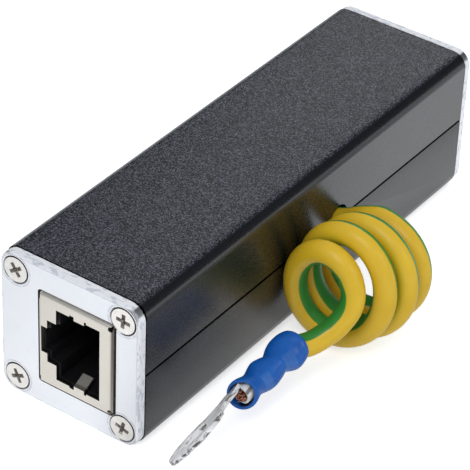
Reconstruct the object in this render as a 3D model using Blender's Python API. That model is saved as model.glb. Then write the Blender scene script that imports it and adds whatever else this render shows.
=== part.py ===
# Inline ethernet surge protector: a two-part aluminium extrusion with a shielded socket in each
# end plate, a circuit board of arresters and diodes between them, and a coiled earth wire that
# leaves the side of the case and ends in a ring terminal. Metres, Z up, Y along the case.

import math

import bmesh
import bpy
import numpy as np
from mathutils import Matrix, Vector

# Case. Each y in this file is measured from the outer face of the front plate.
CASE_WIDTH = 0.0250
CASE_HEIGHT = 0.0250
OVERALL_LENGTH = 0.0870
CASE_CORNER = 0.0022
WALL = 0.0016
SEAM_HEIGHT = 0.0128
TONGUE_HEIGHT = 0.0009
TONGUE_THICKNESS = 0.00065
FIT_GAP = 0.0003
SEAT_GAP = 0.0001

# End plates
PLATE_THICKNESS = 0.0015
PLATE_CORNER = 0.0026
PLATE_EDGE = 0.0004

# Countersunk screws and the ports that take them
SCREW_INSET = 0.00285
HEAD_RADIUS = 0.0021
HEAD_ROOM = 0.0023
SINK_GAP = 0.00025
HEAD_DEPTH = 0.00115
SHANK_RADIUS = 0.00115
SCREW_LENGTH = 0.0080
RECESS_REACH = 0.0015
RECESS_WIDTH = 0.00075
RECESS_DEPTH = 0.0009
PORT_WALL = 0.0006
PORT_MOUTH = math.radians(100)

# Circuit board, standing on edge in a slot in each half of the case
BOARD_THICKNESS = 0.0016
BOARD_FACE_X = -0.0056
SLOT_SHARE = 0.5
SLOT_RIB = 0.0010
PIN_TAIL = 0.0006

# Sockets, lying on the board, latch side down
JACK_WIDTH = 0.0161
JACK_HEIGHT = 0.0135
JACK_DEPTH = 0.0177
JACK_PROUD = 0.0004
JACK_FOLD = 0.0005
SHEET = 0.0003
MOUTH_HALF = 0.0063
MOUTH_LOW = 0.0033
MOUTH_HIGH = 0.01115
LATCH_HALF = 0.00375
LATCH_LOW = 0.00165
KEY_HALF = 0.0023
KEY_LOW = 0.00055
MOUTH_LIP = 0.0003
CAVITY_DEPTH = 0.0134
FINGER_FROM = 0.0065
FINGER_WIDTH = 0.00185
FINGER_REACH = 0.0022
FINGER_LIFT = 0.0011
RELIEF_RADIUS = 0.0004
CORNER_NOTCH = (0.0004, 0.0011)
TAB_WIDTH = 0.0012
TAB_Y = 0.0090
UNDERSIDE_RIM = 0.0020
CONTACT_COUNT = 8
CONTACT_PITCH = 0.00102
CONTACT_WIRE = 0.00036

# Arresters and diodes
ARRESTER_COUNT = 4
ARRESTER_RADIUS = 0.0030
ARRESTER_LENGTH = 0.0080
ARRESTER_SPACE = 0.0014
LEAD_RADIUS = 0.0004
LEAD_PITCH = 0.0034
DIODE_LENGTH = 0.0046
DIODE_WIDTH = 0.0036
DIODE_HEIGHT = 0.0023
DIODE_SPACE = 0.0011

# Earth wire
WIRE_DIAMETER = 0.0037
CORE_RADIUS = 0.00095
EXIT_Y = 0.0500
EXIT_HOLE_RADIUS = 0.0025
TUBE_STEP = 0.0035

# The stretch from the board to the top of the last turn, and the one from the first turn to
# the terminal, point by point in (x, y, z)
EXIT_ROUTE = (
    (-0.0015, 0.0500, 0.0113),
    (0.0020, 0.0500, 0.01135),
    (0.0060, 0.0500, 0.0116),
    (0.0095, 0.0500, 0.0122),
    (0.0125, 0.0500, 0.01295),
    (0.0146, 0.04995, 0.0138),
    (0.0164, 0.04985, 0.01495),
    (0.0183, 0.04970, 0.0159),
)
LEAD_ROUTE = (
    (0.02830, 0.03182, 0.01230),
    (0.02780, 0.03172, 0.01075),
    (0.02640, 0.03110, 0.00925),
    (0.02480, 0.02995, 0.00830),
    (0.02345, 0.02850, 0.00792),
    (0.02263, 0.02665, 0.00768),
    (0.02254, 0.02590, 0.00758),
)

# Four loose turns: the centre, half width, half height and y of each, and how far each turn's
# outer side leans back
COIL_CENTRE_X = (0.0205, 0.02135, 0.02225, 0.02095)
COIL_HALF_WIDTH = (0.0051, 0.00705, 0.0075, 0.00755)
COIL_HALF_HEIGHT = (0.0077, 0.0089, 0.00895, 0.00775)
COIL_Y = (0.0345, 0.03835, 0.04215, 0.04795)
COIL_SWAY = 0.0006
COIL_LIFT = 0.0001
COIL_FIRST = 0.12
COIL_TUBE_FROM = 3.0
COIL_LAST = 3.25

# Ring terminal, in the frame of its own sleeve: rear centre, front centre and the ring's tilt
TERMINAL_REAR = (0.02259, 0.02634, 0.00764)
TERMINAL_FRONT = (0.02125, 0.01334, 0.00597)
TERMINAL_TILT = math.radians(49)
TONGUE_BEND = math.radians(8.7)
SLEEVE_BORE = 0.0016
MOUTH_BORE = 0.0019
MOUTH_DEPTH = 0.0012
BARREL_RADIUS = 0.00145
BARREL_WALL = 0.00035
BARREL_DEPTH = 0.0027
TERMINAL_SHEET = 0.0007
TONGUE_WIDTH = 0.0029
RING_RADIUS = 0.00525
RING_HOLE = 0.0027
TONGUE_ROOT = 0.0013
TONGUE_REACH = 0.0157
STRAND_COUNT = 7

SMOOTH_ANGLE = math.radians(20)
SOFT_ANGLE = math.radians(60)


def clear_scene():
    for obj in list(bpy.data.objects):
        bpy.data.objects.remove(obj, do_unlink=True)


def make_material(name, color, metallic, roughness):
    material = bpy.data.materials.new(name)
    material.use_nodes = True
    shader = material.node_tree.nodes["Principled BSDF"]
    shader.inputs["Base Color"].default_value = (*color, 1.0)
    shader.inputs["Metallic"].default_value = metallic
    shader.inputs["Roughness"].default_value = roughness
    material.diffuse_color = (*color, 1.0)
    return material


def arc(centre, radius, start, end, steps):
    """Points of an arc in the (x, z) plane, angles in radians from +X towards +Z."""
    return [
        (centre[0] + radius * math.cos(a), centre[1] + radius * math.sin(a))
        for a in np.linspace(start, end, steps + 1)
    ]


def rounded_rectangle(left, right, low, high, radius, steps=5):
    quarter = math.pi / 2
    corners = (
        ((right - radius, low + radius), -quarter),
        ((right - radius, high - radius), 0.0),
        ((left + radius, high - radius), quarter),
        ((left + radius, low + radius), 2 * quarter),
    )
    outline = []
    for centre, start in corners:
        outline += arc(centre, radius, start, start + quarter, steps)
    return outline


def prism(outline, y_start, y_end):
    """Closed solid swept along Y from an (x, z) outline."""
    bm = bmesh.new()
    face = bm.faces.new([bm.verts.new((x, y_start, z)) for x, z in outline])
    swept = bmesh.ops.extrude_face_region(bm, geom=[face])["geom"]
    moved = [item for item in swept if isinstance(item, bmesh.types.BMVert)]
    bmesh.ops.translate(bm, vec=(0, y_end - y_start, 0), verts=moved)
    bmesh.ops.recalc_face_normals(bm, faces=bm.faces)
    return bm


def block(low, high):
    """Box between two opposite corners."""
    return prism(
        [(low[0], low[2]), (high[0], low[2]), (high[0], high[2]), (low[0], high[2])], low[1], high[1]
    )


def lathe(profile, segments, closed=False):
    """Solid turned about the Y axis from (radius, y) points."""
    bm = bmesh.new()
    verts = [bm.verts.new((radius, y, 0)) for radius, y in profile]
    pairs = list(zip(verts, verts[1:]))
    if closed:
        pairs.append((verts[-1], verts[0]))
    edges = [bm.edges.new(pair) for pair in pairs]
    bmesh.ops.spin(
        bm, geom=verts + edges, cent=(0, 0, 0), axis=(0, 1, 0), angle=2 * math.pi,
        steps=segments, use_merge=True,
    )
    bmesh.ops.remove_doubles(bm, verts=bm.verts, dist=1e-6)
    bmesh.ops.recalc_face_normals(bm, faces=bm.faces)
    return bm


def moved(bm, matrix):
    bmesh.ops.transform(bm, matrix=matrix, verts=bm.verts)
    return bm


def to_mesh(bm, name):
    mesh = bpy.data.meshes.new(name)
    bm.to_mesh(mesh)
    bm.free()
    return mesh


def gather(shapes, name):
    """One mesh that holds several separate shapes, for a cutter."""
    whole = bmesh.new()
    for shape in shapes:
        mesh = to_mesh(shape, name)
        whole.from_mesh(mesh)
        bpy.data.meshes.remove(mesh)
    return to_mesh(whole, name)


def combined(base, steps, name):
    """Mesh of a base shape after each (operation, shapes) step of Booleans."""
    body = bpy.data.objects.new(name, to_mesh(base, name))
    bpy.context.collection.objects.link(body)
    tools = []
    for number, (operation, shapes) in enumerate(steps):
        tool = bpy.data.objects.new(f"{name}_tool_{number}", gather(shapes, name))
        bpy.context.collection.objects.link(tool)
        tools.append(tool)
        modifier = body.modifiers.new(tool.name, "BOOLEAN")
        modifier.operation = operation
        modifier.solver = "EXACT"
        modifier.object = tool
    bpy.context.view_layer.update()
    graph = bpy.context.evaluated_depsgraph_get()
    mesh = bpy.data.meshes.new_from_object(body.evaluated_get(graph))
    for obj in [body] + tools:
        bpy.data.objects.remove(obj, do_unlink=True)
    return mesh


def place(name, mesh, material, base, matrix=Matrix.Identity(4), angle=SMOOTH_ANGLE):
    """Named object under the case's empty."""
    obj = bpy.data.objects.new(name, mesh)
    bpy.context.collection.objects.link(obj)
    obj.parent = base
    obj.matrix_local = matrix
    if not mesh.materials:
        mesh.materials.append(material)
    mesh.shade_smooth()
    mesh.set_sharp_from_angle(angle=angle)
    return obj


# Case halves

def slot_depth():
    """Depth of the board's slots, a share of the room between the wall and the jack beside them."""
    return ((CASE_HEIGHT - JACK_WIDTH) / 2 - WALL - FIT_GAP) * SLOT_SHARE


def half_outline(outer_top, inner_top, ledge):
    """Section of one half of the case, drawn as the lower one.

    The outer skin stops at outer_top, the inner skin at inner_top, and the step between them
    lies ledge outside the inner face.
    """
    side = CASE_WIDTH / 2
    inside = side - WALL
    inner = SHANK_RADIUS + FIT_GAP
    outer = inner + PORT_WALL
    to_wall = SCREW_INSET - WALL
    half_mouth = PORT_MOUTH / 2
    slot_left = BOARD_FACE_X - BOARD_THICKNESS - FIT_GAP
    slot_right = BOARD_FACE_X + FIT_GAP
    slot_top = WALL + slot_depth()

    points = [(side, outer_top)]
    points += arc((side - CASE_CORNER, CASE_CORNER), CASE_CORNER, 0, -math.pi / 2, 6)
    points += arc((CASE_CORNER - side, CASE_CORNER), CASE_CORNER, -math.pi / 2, -math.pi, 6)
    points += [(-side, outer_top), (-inside - ledge, outer_top), (-inside - ledge, inner_top)]
    points += [(-inside, inner_top)]

    # Left screw port, whose lip also forms the outer wall of the board slot
    left = (SCREW_INSET - side, SCREW_INSET)
    wall_angle = math.pi - math.acos(to_wall / outer)
    points += arc(left, outer, wall_angle, math.pi / 4 + half_mouth, 3)
    low_lip = math.pi / 4 - half_mouth
    hole = arc(left, inner, math.pi / 4 + half_mouth, low_lip + 2 * math.pi, 14)
    points += hole
    points += [(slot_left, hole[-1][1]), (slot_left, WALL), (slot_right, WALL)]
    points += [(slot_right, slot_top), (slot_right + SLOT_RIB, slot_top), (slot_right + SLOT_RIB, WALL)]

    # Right screw port
    right = (side - SCREW_INSET, SCREW_INSET)
    floor_angle = math.pi + math.asin(to_wall / outer)
    points += arc(right, outer, floor_angle, 3 * math.pi / 4 + half_mouth, 3)
    points += arc(right, inner, 3 * math.pi / 4 + half_mouth, 11 * math.pi / 4 - half_mouth, 14)
    points += arc(right, outer, 3 * math.pi / 4 - half_mouth, math.acos(to_wall / outer), 3)
    points += [(inside, inner_top), (inside + ledge, inner_top), (inside + ledge, outer_top)]
    return points


def exit_hole():
    reach = CASE_WIDTH / 2 + WALL
    bm = lathe([(0, WALL), (EXIT_HOLE_RADIUS, WALL), (EXIT_HOLE_RADIUS, reach), (0, reach)], 32)
    turn = Matrix.Rotation(-math.pi / 2, 4, "Z")
    return moved(bm, Matrix.Translation((0, EXIT_Y, SEAM_HEIGHT)) @ turn)


def build_case(base, anodised):
    start = PLATE_THICKNESS + SEAT_GAP
    end = OVERALL_LENGTH - start
    low = half_outline(SEAM_HEIGHT - FIT_GAP / 2, SEAM_HEIGHT + TONGUE_HEIGHT - FIT_GAP / 2, TONGUE_THICKNESS)
    high = half_outline(
        CASE_HEIGHT - SEAM_HEIGHT - FIT_GAP / 2,
        CASE_HEIGHT - SEAM_HEIGHT - TONGUE_HEIGHT - FIT_GAP / 2,
        TONGUE_THICKNESS + FIT_GAP,
    )
    high = [(x, CASE_HEIGHT - z) for x, z in high]
    for name, outline in (("lower_case", low), ("upper_case", high)):
        mesh = combined(prism(outline, start, end), [("DIFFERENCE", [exit_hole()])], name)
        place(name, mesh, anodised, base)


# End plates and screws

def screw_places():
    """Screw axes in (x, z)."""
    x = CASE_WIDTH / 2 - SCREW_INSET
    return [(i * x, z) for z in (SCREW_INSET, CASE_HEIGHT - SCREW_INSET) for i in (-1, 1)]


def countersinks():
    clear = SINK_GAP
    slope = (HEAD_RADIUS - SHANK_RADIUS) / HEAD_DEPTH
    deep = PLATE_THICKNESS * 2
    profile = [
        (0, -PLATE_THICKNESS),
        (HEAD_RADIUS + clear + slope * PLATE_THICKNESS, -PLATE_THICKNESS),
        (SHANK_RADIUS + clear, HEAD_DEPTH),
        (SHANK_RADIUS + clear, deep),
        (0, deep),
    ]
    return [moved(lathe(profile, 28), Matrix.Translation((x, 0, z))) for x, z in screw_places()]


def jack_left():
    return BOARD_FACE_X + FIT_GAP


def jack_centre_z():
    return CASE_HEIGHT / 2


def window_cutter():
    """Room for the jack, less the metal kept round each screw."""
    outline = rounded_rectangle(
        jack_left() - FIT_GAP,
        jack_left() + JACK_HEIGHT + FIT_GAP,
        jack_centre_z() - JACK_WIDTH / 2 - FIT_GAP,
        jack_centre_z() + JACK_WIDTH / 2 + FIT_GAP,
        0.0006,
        3,
    )
    deep = 2 * PLATE_THICKNESS
    kept = [(0, -deep), (HEAD_ROOM, -deep), (HEAD_ROOM, 2 * deep), (0, 2 * deep)]
    rounds = [moved(lathe(kept, 28), Matrix.Translation((x, 0, z))) for x, z in screw_places()]
    cutter = bmesh.new()
    cutter.from_mesh(combined(prism(outline, -PLATE_THICKNESS, deep), [("DIFFERENCE", rounds)], "window"))
    return cutter


def build_plates(base, plated):
    half = CASE_WIDTH / 2
    blank = prism(rounded_rectangle(-half, half, 0, CASE_HEIGHT, PLATE_CORNER, 6), 0, PLATE_THICKNESS)
    front_edges = [e for e in blank.edges if all(abs(v.co.y) < 1e-7 for v in e.verts)]
    bmesh.ops.bevel(
        blank, geom=front_edges, offset=PLATE_EDGE, offset_type="OFFSET", affect="EDGES",
        segments=2, profile=0.5, material=-1,
    )
    cuts = [("DIFFERENCE", [window_cutter()]), ("DIFFERENCE", countersinks())]
    mesh = combined(blank, cuts, "end_plate")
    place("front_plate", mesh, plated, base)
    rear = mesh.copy()
    rear.transform(Matrix.Translation((0, OVERALL_LENGTH, 0)) @ Matrix.Scale(-1, 4, (0, 1, 0)))
    rear.flip_normals()
    place("rear_plate", rear, plated, base)


def screw_mesh():
    tip = SCREW_LENGTH
    profile = [
        (0, 0), (HEAD_RADIUS, 0), (SHANK_RADIUS, HEAD_DEPTH), (SHANK_RADIUS, tip - 0.0007),
        (SHANK_RADIUS * 0.5, tip), (0, tip),
    ]
    reach, half = RECESS_REACH, RECESS_WIDTH / 2
    cross = [
        (reach, -half), (reach, half), (half, half), (half, reach), (-half, reach), (-half, half),
        (-reach, half), (-reach, -half), (-half, -half), (-half, -reach), (half, -reach), (half, -half),
    ]
    cutter = prism(cross, -RECESS_DEPTH, RECESS_DEPTH)
    for vert in cutter.verts:
        if vert.co.y > 0:
            vert.co.x *= 0.6
            vert.co.z *= 0.6
    return combined(lathe(profile, 24), [("DIFFERENCE", [cutter])], "screw")


def build_screws(base, nickel):
    mesh = screw_mesh()
    turned = Matrix.Translation((0, OVERALL_LENGTH, 0)) @ Matrix.Rotation(math.pi, 4, "Z")
    for number, (x, z) in enumerate(screw_places(), 1):
        spin = Matrix.Rotation(math.radians(25 + 40 * number), 4, "Y")
        spot = Matrix.Translation((x, 0, z))
        place(f"front_screw_{number}", mesh, nickel, base, spot @ spin)
        place(f"rear_screw_{number}", mesh, nickel, base, Matrix.Translation((2 * x, 0, 0)) @ turned @ spot @ spin)


# Sockets. The jack is drawn facing -Y with its mouth at the plate, z measured from its centre.

def mouth_outline(gap):
    """Stepped opening for the plug and its latch, drawn in by gap."""
    left = jack_left()
    main, latch, key = MOUTH_HALF - gap, LATCH_HALF - gap, KEY_HALF - gap
    low, mid, deep = left + MOUTH_LOW + gap, left + LATCH_LOW + gap, left + KEY_LOW + gap
    high = left + MOUTH_HIGH - gap
    return [
        (high, -main), (high, main), (low, main), (low, latch), (mid, latch), (mid, key), (deep, key),
        (deep, -key), (mid, -key), (mid, -latch), (low, -latch), (low, -main),
    ]


def screw_clearances():
    """Room for the plate's metal round the screws on the jack's upper side, then for their ports."""
    x, z = screw_places()[-1]
    rise = z - jack_centre_z()
    room, port = HEAD_ROOM + FIT_GAP, SHANK_RADIUS + FIT_GAP + PORT_WALL + SEAT_GAP
    head_end, end = PLATE_THICKNESS + FIT_GAP, 2 * JACK_DEPTH
    profile = [(0, -FIT_GAP), (room, -FIT_GAP), (room, head_end), (port, head_end), (port, end), (0, end)]
    return [moved(lathe(profile, 24), Matrix.Translation((x, 0, k * rise))) for k in (-1, 1)]


def finger(sign):
    """Sprung finger bent in from the mouth's edge, which earths the plug."""
    front, back = -JACK_PROUD, SHEET - JACK_PROUD
    root = MOUTH_HALF - 0.00035
    profile = [
        (front, root + 0.0008), (front, root), (front + FINGER_REACH, root - FINGER_LIFT),
        (front + FINGER_REACH + 0.0002, root - FINGER_LIFT + SHEET), (back, root + SHEET),
        (back, root + 0.0008),
    ]
    left = jack_left() + FINGER_FROM
    bm = prism([(y, sign * z) for y, z in profile], left, left + FINGER_WIDTH)
    return moved(bm, Matrix.Rotation(math.pi / 2, 4, "Z") @ Matrix.Scale(-1, 4, (0, 1, 0)))


def shield_mesh():
    left, right = jack_left(), jack_left() + JACK_HEIGHT
    half = JACK_WIDTH / 2
    front, rear = -JACK_PROUD, JACK_DEPTH - JACK_PROUD
    shell = block((left, front, -half), (right, rear, half))
    folds = [e for e in shell.edges if any(abs(v.co.y - front) < 1e-7 for v in e.verts)]
    folds += [e for e in shell.edges if e not in folds and abs(e.verts[0].co.y - e.verts[1].co.y) > half]
    bmesh.ops.bevel(
        shell, geom=folds, offset=JACK_FOLD, offset_type="OFFSET", affect="EDGES", segments=3,
        profile=0.5, material=-1,
    )
    inside = block((left + SHEET, front + SHEET, SHEET - half), (right - SHEET, 2 * rear, half - SHEET))
    through = front + 2 * SHEET
    mouth = prism(mouth_outline(0), 2 * front, through)
    slit_left = left + FINGER_FROM - 0.0008
    slit_right = left + FINGER_FROM + FINGER_WIDTH + 0.0004
    slits = [
        block((slit_left, 2 * front, min(a, b)), (slit_right, through, max(a, b)))
        for a, b in ((MOUTH_HALF - SHEET, MOUTH_HALF + SHEET), (-MOUTH_HALF - SHEET, SHEET - MOUTH_HALF))
    ]
    relief = [(0, 2 * front), (RELIEF_RADIUS, 2 * front), (RELIEF_RADIUS, through), (0, through)]
    reliefs = [
        moved(lathe(relief, 12), Matrix.Translation((right - 0.0005, 0, k * (half - 0.0006))))
        for k in (-1, 1)
    ]
    across, along = CORNER_NOTCH
    notches = [
        block((left - SHEET, 2 * front, min(a, b)), (left + across, through, max(a, b)))
        for a, b in ((half - along, 2 * half), (-2 * half, along - half))
    ]
    tail = BOARD_FACE_X - BOARD_THICKNESS - PIN_TAIL
    tabs = [
        block((tail, TAB_Y, min(a, b)), (left + 0.001, TAB_Y + TAB_WIDTH, max(a, b)))
        for a, b in ((half - SHEET, half), (-half, SHEET - half))
    ]
    underside = block(
        (left - SHEET, front + 2 * UNDERSIDE_RIM, UNDERSIDE_RIM - half),
        (left + 2 * SHEET, 2 * rear, half - UNDERSIDE_RIM),
    )
    steps = [
        ("DIFFERENCE", [inside]),
        ("DIFFERENCE", [mouth]),
        ("DIFFERENCE", [underside]),
        ("DIFFERENCE", slits),
        ("DIFFERENCE", reliefs),
        ("DIFFERENCE", notches),
        ("DIFFERENCE", screw_clearances()),
        ("UNION", [finger(1), finger(-1)]),
        ("UNION", tabs),
    ]
    return combined(shell, steps, "jack_shield")


def contact_places():
    middle = (CONTACT_COUNT - 1) / 2
    return [(n - middle) * CONTACT_PITCH for n in range(CONTACT_COUNT)]


def contact_route():
    """Centre line of one contact wire in (x, y): sprung end, hairpin, run back, pin."""
    ceiling = jack_left() + MOUTH_HIGH - MOUTH_LIP
    run = ceiling + FIT_GAP + CONTACT_WIRE
    nose = FINGER_REACH + 0.0003
    down = CAVITY_DEPTH + 0.0003
    tail = BOARD_FACE_X - BOARD_THICKNESS - PIN_TAIL
    return [
        (ceiling - 0.0026, nose + 0.0069), (ceiling + 0.0001, nose + 0.0006),
        (ceiling + 0.0004, nose), (run, nose + 0.0006), (run, down), (tail, down),
    ]


def housing_mesh():
    gap = SHEET + FIT_GAP
    left, right = jack_left() + gap, jack_left() + JACK_HEIGHT - gap
    half = JACK_WIDTH / 2 - gap
    front, rear = gap - JACK_PROUD, JACK_DEPTH - JACK_PROUD - FIT_GAP
    body = block((left, front, -half), (right, rear, half))
    cavity = prism(mouth_outline(MOUTH_LIP), -JACK_DEPTH, CAVITY_DEPTH - 0.0010)
    route = contact_route()
    room = CONTACT_WIRE / 2 + FIT_GAP
    row = contact_places()[-1] + room
    run_x, down_y = route[4]
    pocket = block((0, route[2][1] - room, -row), (run_x + room, down_y + room, row))
    shaft = block((left - gap, down_y - room, -row), (run_x + room, down_y + room, row))
    finger_left = jack_left() + FINGER_FROM - FIT_GAP
    finger_right = finger_left + FINGER_WIDTH + 2 * FIT_GAP
    finger_top = MOUTH_HALF + SHEET
    finger_end = FINGER_REACH - JACK_PROUD - 0.0004
    finger_rooms = [
        block((finger_left, -JACK_DEPTH, min(a, b)), (finger_right, finger_end, max(a, b)))
        for a, b in ((MOUTH_HALF / 2, finger_top), (-finger_top, -MOUTH_HALF / 2))
    ]
    steps = [
        ("DIFFERENCE", [cavity]),
        ("DIFFERENCE", finger_rooms),
        ("DIFFERENCE", [pocket]),
        ("DIFFERENCE", [shaft]),
        ("DIFFERENCE", screw_clearances()),
    ]
    return combined(body, steps, "jack_housing")


def contact_mesh():
    """Square wire bent along its route."""
    route = [Vector((x, y, 0)) for x, y in contact_route()]
    half = CONTACT_WIRE / 2
    bm = bmesh.new()
    section = None
    for number, point in enumerate(route):
        before = (point - route[number - 1]).normalized() if number else None
        after = (route[number + 1] - point).normalized() if number + 1 < len(route) else None
        along = ((before or after) + (after or before)).normalized()
        across = Vector((-along.y, along.x, 0))
        stretch = 1 / max(0.5, along.dot(after or before))
        ring = [
            bm.verts.new(point + across * i * half * stretch + Vector((0, 0, k * half)))
            for i, k in ((1, 1), (-1, 1), (-1, -1), (1, -1))
        ]
        edges = [bm.edges.new((ring[n], ring[(n + 1) % 4])) for n in range(4)]
        if section is None:
            bm.faces.new(ring)
        else:
            bmesh.ops.bridge_loops(bm, edges=section + edges)
        section = edges
    bm.faces.new(ring)
    bmesh.ops.recalc_face_normals(bm, faces=bm.faces)
    return to_mesh(bm, "contact")


def jack_frames():
    """Matrices of the front jack and of the rear one, turned end for end on the same board."""
    up = Matrix.Translation((0, 0, jack_centre_z()))
    back = Matrix.Translation((0, OVERALL_LENGTH, jack_centre_z())) @ Matrix.Rotation(math.pi, 4, "X")
    return (("front", up), ("rear", back))


def build_jacks(base, steel, plastic, gold):
    shield, housing, contact = shield_mesh(), housing_mesh(), contact_mesh()
    for end, frame in jack_frames():
        place(f"{end}_jack_shield", shield, steel, base, frame)
        place(f"{end}_jack_housing", housing, plastic, base, frame)
        for number, z in enumerate(contact_places(), 1):
            place(f"{end}_contact_{number}", contact, gold, base, frame @ Matrix.Translation((0, 0, z)))


# Circuit board and what stands on it

def arrester_places():
    """Arresters in a row behind the front jack."""
    first = JACK_DEPTH - JACK_PROUD + ARRESTER_SPACE + ARRESTER_RADIUS
    return [first + n * (2 * ARRESTER_RADIUS + ARRESTER_SPACE) for n in range(ARRESTER_COUNT)]


def pin_hole(y, z, radius):
    low, high = BOARD_FACE_X - 2 * BOARD_THICKNESS, BOARD_FACE_X + BOARD_THICKNESS
    bm = lathe([(0, low), (radius, low), (radius, high), (0, high)], 8)
    return moved(bm, Matrix.Translation((0, y, z)) @ Matrix.Rotation(-math.pi / 2, 4, "Z"))


def joint_height():
    return EXIT_ROUTE[0][2]


def board_notches():
    """Room for the screws beside the board's corners, which matters in a narrow case."""
    shank, end = SHANK_RADIUS + FIT_GAP, SCREW_LENGTH + FIT_GAP
    profile = [(0, 0), (shank, 0), (shank, end), (0, end)]
    spots = [Matrix.Translation((x, 0, z)) for x, z in screw_places()]
    turned = Matrix.Translation((0, OVERALL_LENGTH, 0)) @ Matrix.Rotation(math.pi, 4, "Z")
    mirrored = [turned @ Matrix.Translation((-x, 0, z)) for x, z in screw_places()]
    return [moved(lathe(profile, 16), spot) for spot in spots + mirrored]


def build_board(base, laminate):
    start = PLATE_THICKNESS + 2 * FIT_GAP
    blank = block(
        (BOARD_FACE_X - BOARD_THICKNESS, start, WALL + FIT_GAP),
        (BOARD_FACE_X, OVERALL_LENGTH - start, CASE_HEIGHT - WALL - FIT_GAP),
    )
    holes = [pin_hole(EXIT_Y, joint_height(), CORE_RADIUS + FIT_GAP)]
    down_y = contact_route()[4][1]
    low, high = BOARD_FACE_X - 2 * BOARD_THICKNESS, BOARD_FACE_X + BOARD_THICKNESS
    slots = []
    for end, frame in jack_frames():
        for z in contact_places():
            spot = frame @ Vector((0, down_y, z))
            holes.append(pin_hole(spot.y, spot.z, CONTACT_WIRE))
        for k in (-1, 1):
            spot = frame @ Vector((0, TAB_Y + TAB_WIDTH / 2, k * (JACK_WIDTH - SHEET) / 2))
            reach, lift = TAB_WIDTH / 2 + FIT_GAP, SHEET / 2 + FIT_GAP
            slots.append(block((low, spot.y - reach, spot.z - lift), (high, spot.y + reach, spot.z + lift)))
    for y in arrester_places():
        for k in (-1, 0, 1):
            holes.append(pin_hole(y, CASE_HEIGHT / 2 + k * LEAD_PITCH, LEAD_RADIUS + FIT_GAP))
    steps = [("DIFFERENCE", holes), ("DIFFERENCE", slots), ("DIFFERENCE", board_notches())]
    place("circuit_board", combined(blank, steps, "board"), laminate, base)


def arrester_mesh():
    """Three-electrode gas discharge tube, standing off the board on its leads, turned about Z."""
    half = ARRESTER_LENGTH / 2
    groove = ARRESTER_RADIUS - 0.0003
    cap, ring = 0.0012, 0.0005
    profile = [
        (0, -half), (ARRESTER_RADIUS, -half), (ARRESTER_RADIUS, cap - half), (groove, cap - half),
        (groove, -ring), (ARRESTER_RADIUS, -ring), (ARRESTER_RADIUS, ring), (groove, ring),
        (groove, half - cap), (ARRESTER_RADIUS, half - cap), (ARRESTER_RADIUS, half), (0, half),
    ]
    body = moved(lathe(profile, 24), Matrix.Rotation(math.pi / 2, 4, "X"))
    reach = ARRESTER_RADIUS + FIT_GAP + BOARD_THICKNESS + PIN_TAIL
    lead = [(0, 0.001), (LEAD_RADIUS, 0.001), (LEAD_RADIUS, reach), (0, reach)]
    turn = Matrix.Rotation(math.pi / 2, 4, "Z")
    leads = [moved(lathe(lead, 8), Matrix.Translation((0, 0, k * LEAD_PITCH)) @ turn) for k in (-1, 0, 1)]
    return combined(body, [("UNION", leads)], "arrester")


def diode_mesh():
    """Moulded surface-mount diode with a tab folded under each end; its foot is the y = 0 plane."""
    long, wide, tall = DIODE_LENGTH / 2, DIODE_WIDTH / 2, DIODE_HEIGHT
    taper = 0.0003
    body = prism(
        [(taper - long, 0.0003), (long - taper, 0.0003), (long, tall / 2), (long - taper, tall),
         (taper - long, tall), (-long, tall / 2)], -wide, wide,
    )
    tab = 0.0002
    strips = []
    for k in (-1, 1):
        profile = [
            (long - 0.0004, 0), (long + tab, 0), (long + tab, tall / 2 + tab), (long - 0.0004, tall / 2 + tab),
        ]
        strips.append(prism([(k * x, z) for x, z in profile], -wide * 0.6, wide * 0.6))
    return combined(body, [("UNION", strips)], "diode")


def build_components(base, ceramic, moulded):
    arrester, diode = arrester_mesh(), diode_mesh()
    seat = BOARD_FACE_X + FIT_GAP
    upright = Matrix.Rotation(math.pi / 2, 4, "Y")
    for number, y in enumerate(arrester_places(), 1):
        centre = (seat + ARRESTER_RADIUS, y, CASE_HEIGHT / 2)
        place(f"arrester_{number}", arrester, ceramic, base, Matrix.Translation(centre))
    offset = (ARRESTER_LENGTH + DIODE_WIDTH) / 2 + DIODE_SPACE
    spots = [(y, CASE_HEIGHT / 2 + k * offset) for y in arrester_places() for k in (-1, 1)]
    lay = upright @ Matrix.Rotation(math.pi / 2, 4, "Z")
    for number, (y, z) in enumerate(spots, 1):
        place(f"diode_{number}", diode, moulded, base, Matrix.Translation((seat, y, z)) @ lay)


# Earth wire

def across_turns(values, turn):
    """Value at a turn number, on the cubic through the four values given for turns 0 to 3."""
    return float(np.polyval(np.polyfit(range(len(values)), values, len(values) - 1), turn))


def coil_point(turn):
    """Centre of the wire, counted from the right side of the front turn, going over the top."""
    angle = 2 * math.pi * turn
    half_height = across_turns(COIL_HALF_HEIGHT, turn)
    return Vector((
        across_turns(COIL_CENTRE_X, turn) + across_turns(COIL_HALF_WIDTH, turn) * math.cos(angle),
        across_turns(COIL_Y, turn) + COIL_SWAY * math.cos(angle),
        half_height * (1 + math.sin(angle)) + WIRE_DIAMETER / 2 + COIL_LIFT,
    ))


def smooth_route(points):
    """Points every TUBE_STEP or so on a smooth curve through the given ones."""
    points = [Vector(p) for p in points]
    ends = [2 * points[0] - points[1]] + points + [2 * points[-1] - points[-2]]
    fine = []
    for a, b, c, d in zip(ends, ends[1:], ends[2:], ends[3:]):
        for step in range(8):
            t = step / 8
            fine.append(0.5 * (2 * b + (c - a) * t + (2 * a - 5 * b + 4 * c - d) * t ** 2
                               + (3 * b - a - 3 * c + d) * t ** 3))
    fine.append(points[-1])
    lengths = np.cumsum([0] + [(q - p).length for p, q in zip(fine, fine[1:])])
    wanted = np.linspace(0, lengths[-1], max(3, round(lengths[-1] / TUBE_STEP) + 1))
    return [Vector([float(np.interp(w, lengths, [p[i] for p in fine])) for i in range(3)]) for w in wanted]


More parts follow.
